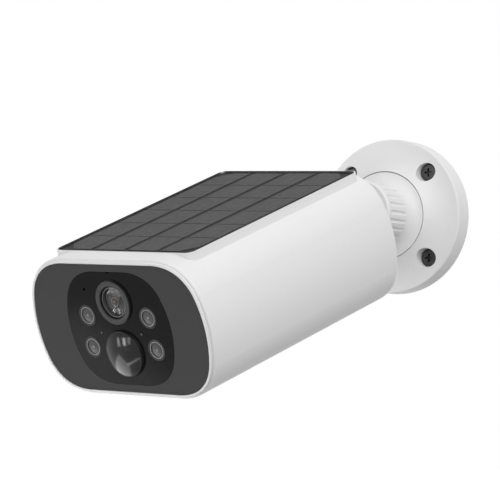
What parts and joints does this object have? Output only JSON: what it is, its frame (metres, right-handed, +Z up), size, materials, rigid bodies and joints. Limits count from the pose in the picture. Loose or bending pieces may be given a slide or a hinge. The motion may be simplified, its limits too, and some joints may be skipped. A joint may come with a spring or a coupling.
{
  "type": "solar security camera",
  "caption": "Bullet-shaped outdoor security camera with a solar panel on top, hung on a ball-jointed round wall bracket.",
  "frame": {"origin": "centre of the wall plate's back, on the wall", "axes": "+Y into the wall, +Z up, +X to the right seen from the room; the camera reaches out towards -Y"},
  "size_m": [0.1384, 0.2286, 0.129],
  "materials": {
    "white_plastic": "fine texture",
    "bezel_white": "satin",
    "white_metal": "white paint",
    "nylon": "natural",
    "steel": "plain",
    "screw_steel": "plain",
    "nickel": "plain",
    "brass": "plain",
    "face_grey": "fine texture",
    "window_black": "polished",
    "ring_grey": "satin",
    "black_plastic": "fine texture",
    "black_rubber": "plain",
    "white_rubber": "plain",
    "lens_glass": "polished",
    "pir_film": "polished",
    "lamp_lens": "polished",
    "sensor_die": "polished",
    "board_green": "solder mask",
    "connector_cream": "plain",
    "cell_wrap": "sleeved",
    "silicon": "etched",
    "panel_back": "laminate",
    "panel_film": "matt",
    "button_grey": "fine texture",
    "mesh_cloth": "woven"
  },
  "bodies": {
    "bracket": {"wall_plate": "white_plastic", "cup_post": "white_plastic", "post_screw": "steel", "wall_screws": "screw_steel"},
    "ring_body": {"slip_ring": "nylon"},
    "collar_body": {"collar": "white_plastic"},
    "liner": {"ball_liner": "nylon"},
    "stem": {"ball_stem": "white_metal"},
    "washer": {"rear_washer": "black_rubber"},
    "nut": {"lock_nut": "white_plastic"},
    "flap": {"port_flap": "white_rubber"},
    "power_key": {"power_button": "button_grey"},
    "reset_key": {"reset_button": "button_grey"},
    "camera": {"threaded_insert": "brass", "main_housing": "white_plastic", "front_bezel": "bezel_white", "front_gasket": "black_rubber", "face_plate": "face_grey", "window": "window_black", "lens_ring": "ring_grey", "lens_glass": "lens_glass", "lens_shroud": "black_plastic", "lens_barrel": "black_plastic", "lens_holder": "black_plastic", "image_sensor": "sensor_die", "sensor_board": "board_green", "pir_ring": "black_plastic", "pir_lens": "pir_film", "pir_sensor": "nickel", "lamp_rings": "ring_grey", "ir_lamps": "lamp_lens", "light_sensors": "lamp_lens", "microphone": "steel", "led_board": "board_green", "inner_chassis": "black_plastic", "chassis_screws": "steel", "sensor_screws": "steel", "main_board": "board_green", "board_screws": "steel", "radio_shield": "steel", "board_connectors": "connector_cream", "wifi_antenna": "brass", "antenna_lead": "black_rubber", "solar_lead": "black_rubber", "battery_lead": "black_rubber", "panel_backsheet": "panel_back", "solar_cells": "silicon", "panel_film": "panel_film", "battery_hatch": "white_plastic", "hatch_gasket": "black_rubber", "hatch_screws": "steel", "battery_tray": "black_plastic", "battery_cells": "cell_wrap", "battery_contacts": "nickel", "usb_socket": "steel", "card_socket": "steel", "port_board": "board_green", "switches": "black_plastic", "speaker": "black_plastic", "speaker_mesh": "mesh_cloth"}
  },
  "joints": [
    {"name": "ball_swivel", "type": "hinge", "parent": "bracket", "child": "liner", "pos_m": [0, -0.036, 0], "axis": [0, 1, 0], "continuous": true},
    {"name": "ball_tilt", "type": "hinge", "parent": "liner", "child": "stem", "pos_m": [0, -0.036, 0], "axis": [0.8342, 0, -0.5515], "range_deg": [-62.4, 11.5]},
    {"name": "camera_roll", "type": "hinge", "parent": "stem", "child": "camera", "pos_m": [0, -0.036, 0], "axis": [0.2369, 0.903, 0.3584], "range_deg": [-90, 90]},
    {"name": "collar_lift", "type": "slide", "parent": "bracket", "child": "ring_body", "axis": [0, -1, 0], "range_m": [0, 0.00112]},
    {"name": "collar_turn", "type": "hinge", "parent": "ring_body", "child": "collar_body", "pos_m": [0, -0.036, 0], "axis": [0, -1, 0], "range_deg": [0, 270]},
    {"name": "nut_shift", "type": "slide", "parent": "stem", "child": "washer", "axis": [0.2369, 0.903, 0.3584], "range_m": [0, 0.00254]},
    {"name": "nut_turn", "type": "hinge", "parent": "washer", "child": "nut", "pos_m": [0, -0.036, 0], "axis": [0.2369, 0.903, 0.3584], "range_deg": [0, 720]},
    {"name": "port_flap_hinge", "type": "hinge", "parent": "camera", "child": "flap", "pos_m": [-0.01245, -0.07677, -0.04613], "axis": [-0.971, 0.2321, 0.057], "range_deg": [0, 95]},
    {"name": "power_press", "type": "slide", "parent": "camera", "child": "power_key", "axis": [-0.0317, -0.3615, 0.9318], "range_m": [0, 0.00035], "stiffness_N_per_m": 800, "springref_m": -0.001},
    {"name": "reset_press", "type": "slide", "parent": "camera", "child": "reset_key", "axis": [-0.0317, -0.3615, 0.9318], "range_m": [0, 0.0003], "stiffness_N_per_m": 800, "springref_m": -0.001}
  ],
  "couplings": [
    {"joint": "collar_turn", "follows": "collar_lift", "rad_per_m": 4188.8},
    {"joint": "nut_turn", "follows": "nut_shift", "rad_per_m": 4947.4}
  ]
}
